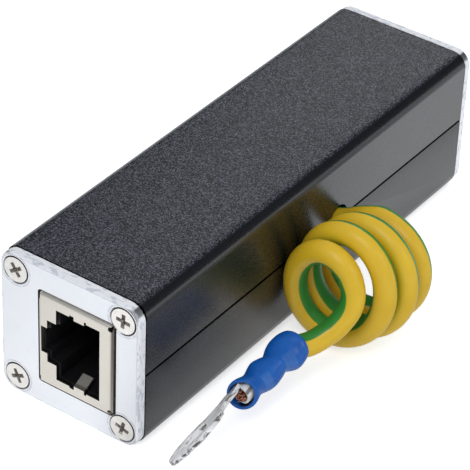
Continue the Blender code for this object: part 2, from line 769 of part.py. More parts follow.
def wire_tube(name, points, insulation, base):
    curve = bpy.data.curves.new(name, "CURVE")
    curve.dimensions = "3D"
    curve.bevel_depth = WIRE_DIAMETER / 2
    curve.bevel_resolution = 2
    curve.use_fill_caps = True
    spline = curve.splines.new("POLY")
    spline.points.add(len(points) - 1)
    for slot, point in zip(spline.points, points):
        slot.co = (*point, 1)
    curve.materials.append(insulation)
    obj = bpy.data.objects.new(name, curve)
    bpy.context.collection.objects.link(obj)
    obj.parent = base


def build_coil(base, insulation):
    """The outer shape of the wound turns: an upright oval ring that stands on the floor."""
    radius = WIRE_DIAMETER / 2
    middle = (COIL_TUBE_FROM + COIL_FIRST) / 2
    wide, tall = across_turns(COIL_HALF_WIDTH, middle), across_turns(COIL_HALF_HEIGHT, middle)
    front = across_turns(COIL_Y, COIL_FIRST) - radius + FIT_GAP
    rear = across_turns(COIL_Y, COIL_TUBE_FROM) - radius - FIT_GAP
    bm = lathe(
        [(wide - radius, front), (wide + radius, front), (wide + radius, rear), (wide - radius, rear)],
        40, closed=True,
    )
    rims = [e for e in bm.edges if abs(e.verts[0].co.y - e.verts[1].co.y) < 1e-7
            and abs(e.verts[0].co.xz.length - e.verts[1].co.xz.length) < 1e-5]
    bmesh.ops.bevel(
        bm, geom=rims, offset=radius * 0.6, offset_type="OFFSET", affect="EDGES", segments=2,
        profile=0.5, material=-1,
    )
    for vert in bm.verts:
        reach = vert.co.xz.length
        vert.co.z *= (reach + tall - wide) / reach
        vert.co.y += COIL_SWAY * vert.co.x / wide
    lift = tall + radius + COIL_LIFT
    centre = CASE_WIDTH / 2 + FIT_GAP + wide + radius
    spot = Matrix.Translation((centre, 0, lift))
    place("earth_wire_coil", to_mesh(bm, "coil"), insulation, base, spot, SOFT_ANGLE)


def build_wire(base, insulation, solder):
    turns = np.linspace(COIL_LAST, COIL_TUBE_FROM, 4)
    exit_points = list(EXIT_ROUTE) + [coil_point(t) for t in turns]
    wire_tube("earth_wire_exit", smooth_route(exit_points), insulation, base)
    wire_tube("earth_wire_lead", smooth_route(LEAD_ROUTE), insulation, base)
    build_coil(base, insulation)

    start = EXIT_ROUTE[0][0] - FIT_GAP
    seat = BOARD_FACE_X + FIT_GAP
    tail = BOARD_FACE_X - BOARD_THICKNESS - PIN_TAIL
    profile = [
        (0, start), (CORE_RADIUS, start), (CORE_RADIUS, seat + 0.0014), (CORE_RADIUS * 2, seat),
        (CORE_RADIUS, seat), (CORE_RADIUS, tail), (0, tail),
    ]
    turn = Matrix.Translation((0, EXIT_Y, joint_height())) @ Matrix.Rotation(-math.pi / 2, 4, "Z")
    place("earth_solder_joint", to_mesh(moved(lathe(profile, 16), turn), "joint"), solder, base)


# Ring terminal. Its frame has Y along the sleeve from the rear, Z square to the ring.

def terminal_frame():
    rear, front = Vector(TERMINAL_REAR), Vector(TERMINAL_FRONT)
    along = (front - rear).normalized()
    up = Vector((-math.sin(TERMINAL_TILT), 0, math.cos(TERMINAL_TILT)))
    up = (up - along * up.dot(along)).normalized()
    side = along.cross(up)
    frame = Matrix((side, along, up)).transposed().to_4x4()
    frame.translation = rear
    return frame, (front - rear).length


def sleeve_mesh(length):
    """Insulating sleeve squeezed flat by two crimps, between a bell mouth and a rounded rear."""
    stations = (
        (0.0, 0.0049, 0.0049), (0.03, 0.0053, 0.0050), (0.09, 0.0057, 0.0045), (0.16, 0.0059, 0.0038),
        (0.24, 0.0058, 0.0036), (0.31, 0.0051, 0.0038), (0.37, 0.0042, 0.0041), (0.42, 0.0039, 0.0042),
        (0.47, 0.0042, 0.0040), (0.54, 0.0048, 0.0037), (0.60, 0.0050, 0.0035), (0.67, 0.0048, 0.0037),
        (0.74, 0.0042, 0.0040), (0.80, 0.00375, 0.00425), (0.86, 0.0040, 0.0044),
        (0.93, 0.0046, 0.0047), (1.0, 0.0047, 0.0047),
    )
    bm = bmesh.new()
    sections = []
    for share, tall, wide in stations:
        ring = bmesh.ops.create_circle(bm, cap_ends=False, segments=24, radius=0.5)["verts"]
        for vert in ring:
            vert.co = (vert.co.x * wide, share * length, vert.co.y * tall)
        edges = list({edge for vert in ring for edge in vert.link_edges})
        if sections:
            bmesh.ops.bridge_loops(bm, edges=sections[-1] + edges)
        else:
            bm.faces.new(ring)
        sections.append(edges)
    bm.faces.new(ring)
    bmesh.ops.recalc_face_normals(bm, faces=bm.faces)
    deep = BARREL_DEPTH + FIT_GAP
    step = length - MOUTH_DEPTH
    bore = lathe(
        [(0, length - deep), (SLEEVE_BORE, length - deep), (SLEEVE_BORE, step), (MOUTH_BORE, step),
         (MOUTH_BORE, 2 * length), (0, 2 * length)], 20,
    )
    entry = WIRE_DIAMETER / 2 + FIT_GAP / 2
    cup = lathe([(0, -length), (entry, -length), (entry, WIRE_DIAMETER / 4), (0, WIRE_DIAMETER / 4)], 20)
    return combined(bm, [("DIFFERENCE", [bore]), ("DIFFERENCE", [cup])], "sleeve")


def ring_mesh(length):
    """Tinned barrel, tongue and ring stamped and rolled from one strip."""
    start = length - BARREL_DEPTH
    inner = BARREL_RADIUS - BARREL_WALL
    barrel = lathe(
        [(inner, start), (BARREL_RADIUS, start), (BARREL_RADIUS, length), (inner, length)],
        24, closed=True,
    )
    low = BARREL_RADIUS - TERMINAL_SHEET + 0.0001
    half = TONGUE_WIDTH / 2
    eye = TONGUE_REACH - RING_RADIUS
    neck = math.radians(154)
    root = half * 0.45
    outline = [(-root, -TONGUE_ROOT / 2), (-root, 0), (-half, TONGUE_ROOT), (-half, eye - 1.35 * RING_RADIUS)]
    rim = [(RING_RADIUS * math.sin(a), eye + RING_RADIUS * math.cos(a)) for a in np.linspace(-neck, neck, 33)]
    outline += rim + [(half, eye - 1.35 * RING_RADIUS), (half, TONGUE_ROOT), (root, 0), (root, -TONGUE_ROOT / 2)]
    flat = prism(outline, -low - TERMINAL_SHEET, -low)
    hole = lathe([(0, -1), (RING_HOLE, -1), (RING_HOLE, 1), (0, 1)], 28)
    moved(hole, Matrix.Translation((0, 0, eye)))
    lay = (
        Matrix.Translation((0, length, 0)) @ Matrix.Rotation(-TONGUE_BEND, 4, "X")
        @ Matrix(((1, 0, 0, 0), (0, 0, 1, 0), (0, -1, 0, 0), (0, 0, 0, 1)))
    )
    return combined(barrel, [("UNION", [moved(flat, lay)]), ("DIFFERENCE", [moved(hole, lay)])], "ring")


def strand_mesh(length):
    """Ends of the conductor's strands inside the barrel."""
    lobe, orbit = 0.00024, 0.0006
    outline = []
    for number in range(STRAND_COUNT):
        facing = 2 * math.pi * number / STRAND_COUNT
        spread = math.pi * (0.5 + 1 / STRAND_COUNT) * 0.8
        centre = (orbit * math.cos(facing), orbit * math.sin(facing))
        outline += arc(centre, lobe, facing - spread, facing + spread, 5)
    return to_mesh(prism(outline, length - BARREL_DEPTH, length + 0.0002), "strands")


def build_terminal(base, vinyl, tinned, copper):
    frame, length = terminal_frame()
    place("terminal_sleeve", sleeve_mesh(length), vinyl, base, frame, SOFT_ANGLE)
    place("ring_terminal", ring_mesh(length), tinned, base, frame)
    place("wire_strands", strand_mesh(length), copper, base, frame)


def build():
    clear_scene()
    base = bpy.data.objects.new("case_centre", None)
    bpy.context.collection.objects.link(base)
    base.location = (0, -OVERALL_LENGTH / 2, 0)

    anodised = make_material("anodised_black", (0.035, 0.038, 0.046), 0.6, 0.45)
    plated = make_material("zinc_plate", (0.80, 0.82, 0.85), 0.9, 0.35)
    nickel = make_material("nickel_screw", (0.74, 0.73, 0.69), 1.0, 0.25)
    steel = make_material("jack_shield_steel", (0.72, 0.70, 0.65), 1.0, 0.3)
    plastic = make_material("jack_plastic", (0.02, 0.02, 0.02), 0.0, 0.5)
    gold = make_material("contact_gold", (0.85, 0.62, 0.25), 1.0, 0.25)
    laminate = make_material("board_laminate", (0.03, 0.22, 0.08), 0.0, 0.4)
    ceramic = make_material("arrester_ceramic", (0.75, 0.74, 0.72), 0.3, 0.4)
    moulded = make_material("diode_epoxy", (0.03, 0.03, 0.03), 0.0, 0.5)
    insulation = make_material("earth_wire_pvc", (0.78, 0.58, 0.08), 0.0, 0.35)
    solder = make_material("solder", (0.7, 0.7, 0.7), 1.0, 0.3)
    vinyl = make_material("sleeve_vinyl", (0.03, 0.14, 0.55), 0.0, 0.35)
    tinned = make_material("tinned_copper", (0.75, 0.75, 0.74), 1.0, 0.2)
    copper = make_material("bare_copper", (0.72, 0.36, 0.18), 1.0, 0.3)

    build_case(base, anodised)
    build_plates(base, plated)
    build_screws(base, nickel)
    build_jacks(base, steel, plastic, gold)
    build_board(base, laminate)
    build_components(base, ceramic, moulded)
    build_wire(base, insulation, solder)
    build_terminal(base, vinyl, tinned, copper)


build()
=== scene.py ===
import math

import bmesh
import bpy
import numpy as np
from mathutils import Matrix, Vector, kdtree


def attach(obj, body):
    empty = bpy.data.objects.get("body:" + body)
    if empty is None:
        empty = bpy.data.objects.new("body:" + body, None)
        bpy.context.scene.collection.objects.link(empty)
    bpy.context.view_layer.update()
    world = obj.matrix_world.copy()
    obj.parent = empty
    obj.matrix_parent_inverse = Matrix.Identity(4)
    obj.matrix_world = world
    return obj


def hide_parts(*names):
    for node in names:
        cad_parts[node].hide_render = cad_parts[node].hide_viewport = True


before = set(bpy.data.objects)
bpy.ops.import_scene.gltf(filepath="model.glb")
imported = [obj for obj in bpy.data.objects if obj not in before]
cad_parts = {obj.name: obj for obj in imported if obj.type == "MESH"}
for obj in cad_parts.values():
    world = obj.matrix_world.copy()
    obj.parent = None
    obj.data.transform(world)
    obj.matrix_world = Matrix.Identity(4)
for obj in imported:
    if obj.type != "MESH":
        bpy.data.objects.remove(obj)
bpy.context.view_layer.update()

# An ethernet surge protector: black anodised case, zinc end plates, a shielded socket at each end
# and a coiled yellow and green earth wire with a blue ring terminal.

caseMiddle = 0.0435                           # from the front plate's outer face to the origin
halfCase = 0.0125                             # half its width and height, so also its middle's height
print("frame loaded")


# Camera

cameraSettings = {
    "lens": 198.69,
    "azimuth": 34.419,
    "elevation": 35.931,
    "roll": 2.415,
    "distance": 0.39926,
    "aim": (0.0, 0.0015, 0.0125),
    "slide": (-0.002678, -0.004403),
}


def makeCamera(settings):
    azimuth, elevation, roll = (math.radians(settings[k]) for k in ("azimuth", "elevation", "roll"))
    back = Vector((
        math.sin(azimuth) * math.cos(elevation),
        -math.cos(azimuth) * math.cos(elevation),
        math.sin(elevation),
    ))
    level = Vector((0, 0, 1)).cross(back).normalized()
    upright = back.cross(level)
    right = level * math.cos(roll) + upright * math.sin(roll)
    up = upright * math.cos(roll) - level * math.sin(roll)
    camera = bpy.data.objects.new("camera", bpy.data.cameras.new("camera"))
    bpy.context.scene.collection.objects.link(camera)
    camera.data.lens = settings["lens"]
    camera.data.sensor_width = 36
    camera.data.clip_start, camera.data.clip_end = 0.01, 20
    turn = Matrix((right, up, back)).transposed().to_4x4()
    place = Vector(settings["aim"]) + back * settings["distance"]
    place += right * settings["slide"][0] + up * settings["slide"][1]
    camera.matrix_world = Matrix.Translation(place) @ turn
    bpy.context.scene.camera = camera


makeCamera(cameraSettings)
print("camera placed")


# Earth wire. Its places, and the terminal's, have y from the front plate's outer face.

earthWire = {
    "diameter": 0.0037,
    "sides": 32,
    "pointSpacing": 0.0008,
    "exitRoute": [
        (-0.0015, 0.0500, 0.0113), (0.0020, 0.0500, 0.01135), (0.0060, 0.0500, 0.0116),
        (0.0095, 0.0500, 0.0122), (0.0125, 0.0500, 0.01295), (0.0146, 0.04995, 0.0138),
        (0.0164, 0.04985, 0.01495), (0.0183, 0.04970, 0.0159),
    ],
    "leadRoute": [
        (0.02530, 0.03500, 0.01350), (0.02550, 0.03390, 0.01120), (0.02460, 0.03190, 0.00890),
        (0.02365, 0.03030, 0.00780), (0.02270, 0.02860, 0.00705), (0.02180, 0.02710, 0.00692),
        (0.02130, 0.02620, 0.00705),
    ],
    # the coil at its turns 0 to 3, from the lead to the exit
    "centreX": (0.0205, 0.02135, 0.02225, 0.02095),
    "halfWidth": (0.0051, 0.00705, 0.0075, 0.00755),
    "halfHeight": (0.0077, 0.00855, 0.0086, 0.0076),
    "turnY": (0.0345, 0.03835, 0.04215, 0.04795),
    "lift": (0.0001, 0.0008, 0.0008, 0.0004),
    "sway": 0.0006,                           # how far a turn leans along the case
    "firstTurn": 0.12,
    "lastTurn": 3.25,
    "turnStep": 0.03,
    "turnSamples": 600,
    "onCoil": 0.0004,                         # nearer than this to a turn, a point is part of it
    "leadTwist": -65,                         # how far the lead turns the stripes, in degrees
    "twistBefore": 12,                        # points before the coil's end where that starts
    "twistPace": 1.6,                         # above 1, the twist is over before the lead's end
    "hole": (0.0125, 0.0065, 0.01295),        # where it leaves the case, from the origin
}


def cubicThrough(values, turn):
    return float(np.polyval(np.polyfit(range(len(values)), values, len(values) - 1), turn))


def coilCentre(wire, turn):
    height = cubicThrough(wire["halfHeight"], turn)
    return Vector((
        cubicThrough(wire["centreX"], turn),
        cubicThrough(wire["turnY"], turn) - caseMiddle,
        height + wire["diameter"] / 2 + cubicThrough(wire["lift"], turn),
    ))


def coilPoint(wire, turn):
    angle = 2 * math.pi * turn
    around = Vector((
        cubicThrough(wire["halfWidth"], turn) * math.cos(angle),
        wire["sway"] * math.cos(angle),
        cubicThrough(wire["halfHeight"], turn) * math.sin(angle),
    ))
    return coilCentre(wire, turn) + around


def evenly(points, spacing):                  # points at one spacing on a smooth line through the given ones
    fine, steps = [], 10
    ends = [2 * points[0] - points[1]] + points + [2 * points[-1] - points[-2]]
    for a, b, c, d in zip(ends, ends[1:], ends[2:], ends[3:]):
        for step in range(steps):
            t = step / steps
            fine.append(0.5 * (2 * b + (c - a) * t + (2 * a - 5 * b + 4 * c - d) * t ** 2
                               + (3 * b - a - 3 * c + d) * t ** 3))
    fine.append(points[-1])
    lengths = np.cumsum([0] + [(q - p).length for p, q in zip(fine, fine[1:])])
    wanted = np.linspace(0, lengths[-1], round(lengths[-1] / spacing) + 1)
    columns = [np.interp(wanted, lengths, [p[i] for p in fine]) for i in range(3)]
    return [Vector(p) for p in zip(*columns)], float(lengths[-1])


def wireRoute(wire):
    def shifted(points):
        return [Vector((x, y - caseMiddle, z)) for x, y, z in points]

    turns = np.arange(wire["lastTurn"], wire["firstTurn"], -wire["turnStep"])
    coil = [coilPoint(wire, t) for t in turns]
    route = shifted(wire["exitRoute"]) + coil + shifted(wire["leadRoute"])
    return evenly(route, wire["pointSpacing"])


def square(way, tangent):                     # the part of a direction that is square to the wire
    return (way - tangent * way.dot(tangent)).normalized()


def outwardAlong(wire, points, tangents):     # the way out from the coil's middle, at each point
    outward = [None] * len(points)
    turns = np.linspace(wire["firstTurn"], wire["lastTurn"], wire["turnSamples"])
    nearTurn = kdtree.KDTree(len(turns))
    for number, turn in enumerate(turns):
        nearTurn.insert(coilPoint(wire, turn), number)
    nearTurn.balance()
    for i, point in enumerate(points):
        found, number, gap = nearTurn.find(point)
        if gap < wire["onCoil"]:
            outward[i] = point - coilCentre(wire, turns[number])
    known = [i for i, way in enumerate(outward) if way is not None]
    for i in range(known[0] - 1, -1, -1):
        outward[i] = square(outward[i + 1], tangents[i])
    for i in range(known[0], len(points)):
        outward[i] = square(outward[i] or outward[i - 1], tangents[i])
    twist, before = math.radians(wire["leadTwist"]), wire["twistBefore"]
    for i in range(len(points)):
        share = max(0, i - known[-1] + before) / (len(points) - known[-1] + before)
        turn = twist * min(1, wire["twistPace"] * share)
        outward[i] = Matrix.Rotation(turn, 3, tangents[i]) @ outward[i]
    middle = known[len(known) // 2]
    sign = math.copysign(1, tangents[middle].cross(outward[middle]).y)
    return outward, sign


# Writes which way each side of the wire faces: x out from the coil's middle, y towards the far end.
# The stripes follow it, and it turns with the wire where it leaves the coil.
def markSides(mesh, wire, points):
    tangents = [(points[min(i + 1, len(points) - 1)] - points[max(i - 1, 0)]).normalized()
                for i in range(len(points))]
    outward, sign = outwardAlong(wire, points, tangents)
    near = kdtree.KDTree(len(points))
    for i, point in enumerate(points):
        near.insert(point, i)
    near.balance()
    facing = mesh.attributes.new("facing", "FLOAT_VECTOR", "POINT")
    for vert in mesh.vertices:
        centre, i, gap = near.find(vert.co)
        way = square(vert.co - centre, tangents[i])
        rear = sign * tangents[i].cross(outward[i])
        facing.data[vert.index].vector = (way.dot(outward[i]), way.dot(rear), 0)


def makeWire(wire):
    points, length = wireRoute(wire)
    curve = bpy.data.curves.new("wireLine", "CURVE")
    curve.dimensions = "3D"
    curve.twist_mode = "MINIMUM"
    curve.bevel_depth = wire["diameter"] / 2
    curve.bevel_resolution = wire["sides"] // 2 - 2
    curve.use_fill_caps = True
    spline = curve.splines.new("POLY")
    spline.points.add(len(points) - 1)
    for spot, point in zip(spline.points, points):
        spot.co = (*point, 1)
    line = bpy.data.objects.new("wireLine", curve)
    bpy.context.scene.collection.objects.link(line)
    bpy.context.view_layer.update()
    mesh = bpy.data.meshes.new_from_object(line.evaluated_get(bpy.context.evaluated_depsgraph_get()))
    bpy.data.objects.remove(line)
    mesh.shade_smooth()
    markSides(mesh, wire, points)
    piece = bpy.data.objects.new("earthWire", mesh)
    bpy.context.scene.collection.objects.link(piece)
    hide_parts("earth_wire_exit", "earth_wire_coil", "earth_wire_lead")
    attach(piece, "root")
    return piece


# Pieces made from the frame's own solids, with their edges eased

easing = {
    "mergeGap": 2e-6,
    "flatAngle": 0.8,                         # in degrees: faces nearer to one plane than this are joined
    "smoothAngle": 30,
    "sharpFrom": 40,                          # in degrees: edges sharper than this are eased
    "segments": 2,
    "screwWidth": 0.00005,
}


def meshOf(node):
    bm = bmesh.new()
    bm.from_mesh(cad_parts[node].data)
    bmesh.ops.remove_doubles(bm, verts=bm.verts, dist=easing["mergeGap"])
    # Flat faces come as triangles, and the bevel needs them whole
    bmesh.ops.dissolve_limit(
        bm, angle_limit=math.radians(easing["flatAngle"]), verts=bm.verts, edges=bm.edges,
        use_dissolve_boundaries=False,
    )
    return bm


def addPiece(bm, name, node, smoothAngle):
    mesh = bpy.data.meshes.new(name)
    bm.to_mesh(mesh)
    bm.free()
    mesh.shade_smooth()
    mesh.set_sharp_from_angle(angle=math.radians(smoothAngle))
    piece = bpy.data.objects.new(name, mesh)
    bpy.context.scene.collection.objects.link(piece)
    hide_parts(node)
    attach(piece, "root")
    return piece


def easedCopy(node, name, width):
    piece = addPiece(meshOf(node), name, node, easing["smoothAngle"])
    ease = piece.modifiers.new("ease", "BEVEL")
    ease.width = width
    ease.segments = easing["segments"]
    ease.limit_method = "ANGLE"
    ease.angle_limit = math.radians(easing["sharpFrom"])
    ease.use_clamp_overlap = True
    ease.harden_normals = True
    ease.miter_outer = "MITER_SHARP"
    return piece


easedPieces = {                               # node, slot and width of the eased edges
    "upperCase": ("upper_case", "anodised_black", 0.00008),
    "lowerCase": ("lower_case", "anodised_black", 0.00008),
    "frontPlate": ("front_plate", "zinc_plate", 0.00006),
    "rearPlate": ("rear_plate", "zinc_plate", 0.00006),
    "frontShield": ("front_jack_shield", "jack_shield_steel", 0.00004),
    "rearShield": ("rear_jack_shield", "jack_shield_steel", 0.00004),
    "frontHousing": ("front_jack_housing", "jack_plastic", 0.00006),
    "rearHousing": ("rear_jack_housing", "jack_plastic", 0.00006),
    "ringTerminal": ("ring_terminal", "tinned_copper", 0.00010),
}
ends = ("front", "rear")
made = {}
for name, (node, slot, width) in easedPieces.items():
    made[name] = easedCopy(node, name, width)
for end in ends:
    for number in range(1, 5):
        name = f"{end}Screw{number}"
        made[name] = easedCopy(f"{end}_screw_{number}", name, easing["screwWidth"])
print("case, plates, sockets and screws made")


# Terminal sleeve and the strands in its mouth

terminal = {
    "rear": (0.02115, 0.02670, 0.00728),
    "front": (0.02080, 0.01360, 0.00590),
    "tilt": 52.4,
    "bend": 2.2,                              # the ring's, from where the frame has it, in degrees
    "sheetBend": 8.7,                         # the ring's, from the sleeve's own axis
    "sheetMiddle": 0.0012,                    # height of the middle of the ring's sheet
    "framePose": {"rear": (0.02259, 0.02634, 0.00764), "front": (0.02125, 0.01334, 0.00597), "tilt": 49},
    "mouthSlant": (0.86, 0.42),               # share of the length where it begins, how much
    "notchSlant": (0.41, 0.30, 0.33),         # the same for the crimp's notch: where, how far, how much
    "sides": 40,
    # share of the length, thickness and width in mm
    "stations": [
        (0.0, 4.8, 4.8), (0.015, 5.1, 5.0), (0.05, 5.45, 4.9), (0.09, 5.7, 4.5), (0.13, 5.85, 4.05),
        (0.18, 5.9, 3.7), (0.24, 5.75, 3.6), (0.28, 5.4, 3.65), (0.32, 4.95, 3.85), (0.36, 4.3, 4.05),
        (0.39, 3.85, 4.2), (0.42, 3.85, 4.15), (0.46, 4.3, 4.0), (0.53, 4.7, 3.75), (0.58, 4.95, 3.55),
        (0.63, 4.95, 3.55), (0.68, 4.7, 3.7), (0.73, 4.25, 3.95), (0.77, 3.9, 4.2), (0.80, 3.75, 4.25),
        (0.84, 3.85, 4.35), (0.88, 4.15, 4.5), (0.93, 4.55, 4.65), (0.97, 4.7, 4.7), (0.992, 4.68, 4.68),
        (1.0, 4.5, 4.5),
    ],
    "boreRadius": 0.00155,
    "boreDepth": 0.0029,
    "mouthWide": 0.00195,
    "mouthTall": 0.00162,
    "mouthDepth": 0.0012,
    "mouthFlare": (1.07, 1.10),               # wide and tall
    "mouthEdge": 0.0002,
    "stepEdge": 0.0001,
    "cupRadius": 0.00185,
    "cupDepth": 0.0008,
    "cupFlare": 1.05,
    "strands": 30,
    "strandRadius": 0.00013,
    "strandSides": 8,
    "strandTip": 0.00004,
    "strandTurn": 2.39996,                    # the golden angle spreads them evenly
    "strandStart": 0.0011,                    # middle of the strands, behind the mouth
    "strandLength": (0.0029, 0.0007),         # least, and what chance adds to it
    "strandLean": 0.16,
    "bundleRadius": 0.00104,
}


def terminalFrame(settings):
    rear, front = (Vector((x, y - caseMiddle, z)) for x, y, z in (settings["rear"], settings["front"]))
    along = (front - rear).normalized()
    tilt = math.radians(settings["tilt"])
    up = Vector((-math.sin(tilt), 0, math.cos(tilt)))
    up = (up - along * up.dot(along)).normalized()
    side = along.cross(up)
    turn = Matrix((side, along, up)).transposed().to_4x4()
    turn.translation = rear
    return turn, (front - rear).length


def makeSleeve(settings):
    turn, length = terminalFrame(settings)
    rings = [(share * length, tall / 2000, wide / 2000) for share, tall, wide in settings["stations"]]
    bore, cup = settings["boreRadius"], settings["cupRadius"]
    entry = [
        (settings["cupDepth"], cup, cup), (settings["mouthEdge"], cup, cup),
        (0.0, cup * settings["cupFlare"], cup * settings["cupFlare"]),
    ]
    wide, tall = settings["mouthWide"], settings["mouthTall"]
    flareWide, flareTall = settings["mouthFlare"]
    step, edge = length - settings["mouthDepth"], settings["stepEdge"]
    mouth = [
        (length, tall * flareTall, wide * flareWide), (length - settings["mouthEdge"], tall, wide),
        (step + edge, tall, wide), (step, tall - edge, wide - edge), (step, bore, bore),
        (length - settings["boreDepth"], bore, bore),
    ]
    slantStart, mouthSlant = settings["mouthSlant"]
    slanted = slantStart * length
    notch, reach, notchSlant = settings["notchSlant"]
    bm = bmesh.new()
    previous = None
    for y, tall, wide in entry + rings + mouth:
        ring = bmesh.ops.create_circle(bm, cap_ends=False, segments=settings["sides"], radius=1)["verts"]
        slant = mouthSlant * max(0, min(1, (y - slanted) / (length - slanted)))
        lean = notchSlant * max(0, 1 - abs(y / length - notch) / reach)
        for vert in ring:
            across, high = vert.co.x * wide, vert.co.y * tall
            vert.co = (across, y + slant * across + lean * high, high)
        loop = list({side for vert in ring for side in vert.link_edges})
        if previous:
            bmesh.ops.bridge_loops(bm, edges=previous + loop)
        else:
            bmesh.ops.contextual_create(bm, geom=ring)
        previous = loop
    bmesh.ops.contextual_create(bm, geom=ring)
    bmesh.ops.recalc_face_normals(bm, faces=bm.faces)
    bmesh.ops.transform(bm, matrix=turn, verts=bm.verts)
    piece = addPiece(bm, "terminalSleeve", "terminal_sleeve", 70)
    smooth = piece.modifiers.new("smooth", "SUBSURF")
    smooth.levels = smooth.render_levels = 1
    return piece


def makeStrands(settings):
    turn, length = terminalFrame(settings)
    bm = bmesh.new()
    scatter = np.random.default_rng(5)
    sides, radius = settings["strandSides"], settings["strandRadius"]
    least, extra = settings["strandLength"]
    for number in range(settings["strands"]):
        angle = number * settings["strandTurn"]
        out = settings["bundleRadius"] * math.sqrt((number + 0.5) / settings["strands"])
        spot = Vector((out * math.cos(angle), length - settings["strandStart"], out * math.sin(angle)))
        tall = least + extra * scatter.random()
        lean = Matrix.Rotation(settings["strandLean"] * (scatter.random() - 0.5), 4, "X")
        lean = lean @ Matrix.Rotation(settings["strandLean"] * (scatter.random() - 0.5), 4, "Z")
        stand = Matrix.Translation(spot) @ lean @ Matrix.Rotation(math.pi / 2, 4, "X")
        strand = bmesh.ops.create_cone(
            bm, cap_ends=True, segments=sides, radius1=radius, radius2=radius, depth=tall, matrix=stand,
        )
        around = {edge for vert in strand["verts"] for edge in vert.link_edges}
        tips = [edge for edge in around if any(len(face.verts) == sides for face in edge.link_faces)]
        bmesh.ops.bevel(
            bm, geom=tips, offset=settings["strandTip"], affect="EDGES", segments=1, profile=0.5, material=-1,
        )
    bmesh.ops.transform(bm, matrix=turn, verts=bm.verts)
    bmesh.ops.recalc_face_normals(bm, faces=bm.faces)
    return addPiece(bm, "wireStrands", "wire_strands", 50)


# The ring's copy is carried from the frame's pose of the terminal to the one that the photo shows
framePose = terminalFrame(terminal["framePose"])[0]
shownPose, sleeveLength = terminalFrame(terminal)
sleeveFront = Matrix.Translation((0, sleeveLength, 0))
bend = sleeveFront @ Matrix.Rotation(math.radians(terminal["bend"]), 4, "X") @ sleeveFront.inverted()
made["ringTerminal"].data.transform(shownPose @ bend @ framePose.inverted())
sheetTurn = Matrix.Rotation(math.radians(-terminal["sheetBend"]), 4, "X")
sheetPose = shownPose @ bend @ sleeveFront @ sheetTurn
made["terminalSleeve"] = makeSleeve(terminal)
made["wireStrands"] = makeStrands(terminal)
made["earthWire"] = makeWire(earthWire)
print("earth wire and its terminal made")


# Materials

class Value:                                  # one number, colour or vector in a material
    def __init__(self, paint, socket):
        self.paint, self.socket = paint, socket

    def __add__(self, other):
        return self.paint.maths("ADD", self, other)

    def __radd__(self, other):
        return self.paint.maths("ADD", other, self)

    def __sub__(self, other):
        return self.paint.maths("SUBTRACT", self, other)

    def __rsub__(self, other):
        return self.paint.maths("SUBTRACT", other, self)

    def __mul__(self, other):
        return self.paint.maths("MULTIPLY", self, other)

    def __rmul__(self, other):
        return self.paint.maths("MULTIPLY", other, self)

    def __truediv__(self, other):
        return self.paint.maths("DIVIDE", self, other)

    def __pow__(self, other):
        return self.paint.maths("POWER", self, other)

    def __abs__(self):
        return self.paint.maths("ABSOLUTE", self)

    def above(self, limit, soft):             # 0 below the limit, 1 above it
        spread = {"Value": self, "From Min": limit - soft, "From Max": limit + soft}
        return self.paint.node("ShaderNodeMapRange", {"clamp": True}, spread)

    def below(self, limit, soft):
        return 1 - self.above(limit, soft)


class Paint:                                  # the nodes of one material, or of the world
    def __init__(self, name, settings=None, owner=None):
        self.owner = owner or bpy.data.materials.new(name)
        self.owner.use_nodes = True
        self.tree = self.owner.node_tree
        self.shader = self.tree.nodes["Background" if owner else "Principled BSDF"]
        for key, value in (settings or {}).items():
            self.link(value, self.shader.inputs[key])

    def node(self, kind, settings=None, inputs=None, output=0):
        node = self.tree.nodes.new(kind)
        for key, value in (settings or {}).items():
            if key == "stops":
                ramp = node.color_ramp.elements
                for number, (place, level) in enumerate(value):
                    stop = ramp[number] if number < 2 else ramp.new(place)
                    stop.position, stop.color = place, (level, level, level, 1.0)
            else:
                setattr(node, key, value)
        pairs = inputs.items() if isinstance(inputs, dict) else enumerate(inputs or [])
        for key, value in pairs:
            self.link(value, node.inputs[key])
        return Value(self, node.outputs[output])

    def link(self, value, socket):
        if isinstance(value, Value):
            self.tree.links.new(value.socket, socket)
        elif isinstance(value, tuple) and len(value) == 3 and socket.type == "RGBA":
            socket.default_value = (*value, 1.0)
        else:
            socket.default_value = value

    def maths(self, operation, *values):
        return self.node("ShaderNodeMath", {"operation": operation}, values)

    def vectors(self, operation, *values):
        output = "Value" if operation in ("DOT_PRODUCT", "LENGTH") else "Vector"
        return self.node("ShaderNodeVectorMath", {"operation": operation}, values, output)

    def mix(self, share, first, second):
        return self.node("ShaderNodeMix", {"data_type": "RGBA"}, {0: share, 6: first, 7: second}, 2)

    def ray(self, kind):
        return self.node("ShaderNodeLightPath", output=f"Is {kind} Ray")

    def place(self, stretch=None):
        here = self.node("ShaderNodeTexCoord", output="Object")
        if stretch is None:
            return here
        return self.node("ShaderNodeMapping", {"vector_type": "POINT"}, {"Vector": here, "Scale": stretch})

    def axis(self, letter):
        return self.node("ShaderNodeSeparateXYZ", None, [self.place()], "XYZ".index(letter))

    def along(self, start, way):              # how far from the start, in one direction
        return self.vectors("DOT_PRODUCT", self.place(), way) - start.dot(way)

    def noise(self, size, detail=2.0, stretch=None, roughness=0.5):
        return self.node("ShaderNodeTexNoise", None, {
            "Vector": self.place(stretch), "Scale": 1 / size, "Detail": detail, "Roughness": roughness,
        })

    def cells(self, size, output="Color"):
        grain = self.node("ShaderNodeTexVoronoi", None, {"Vector": self.place(), "Scale": 1 / size}, output)
        return self.node("ShaderNodeSeparateXYZ", None, [grain]) if output == "Color" else grain

    def finish(self, color, roughness, height, depth, metallic=None):
        self.link(color, self.shader.inputs["Base Color"])
        self.link(roughness, self.shader.inputs["Roughness"])
        if metallic is not None:
            self.link(metallic, self.shader.inputs["Metallic"])
        bump = self.node("ShaderNodeBump", None, {"Height": height, "Distance": depth}, "Normal")
        self.link(bump, self.shader.inputs["Normal"])
        return self.owner


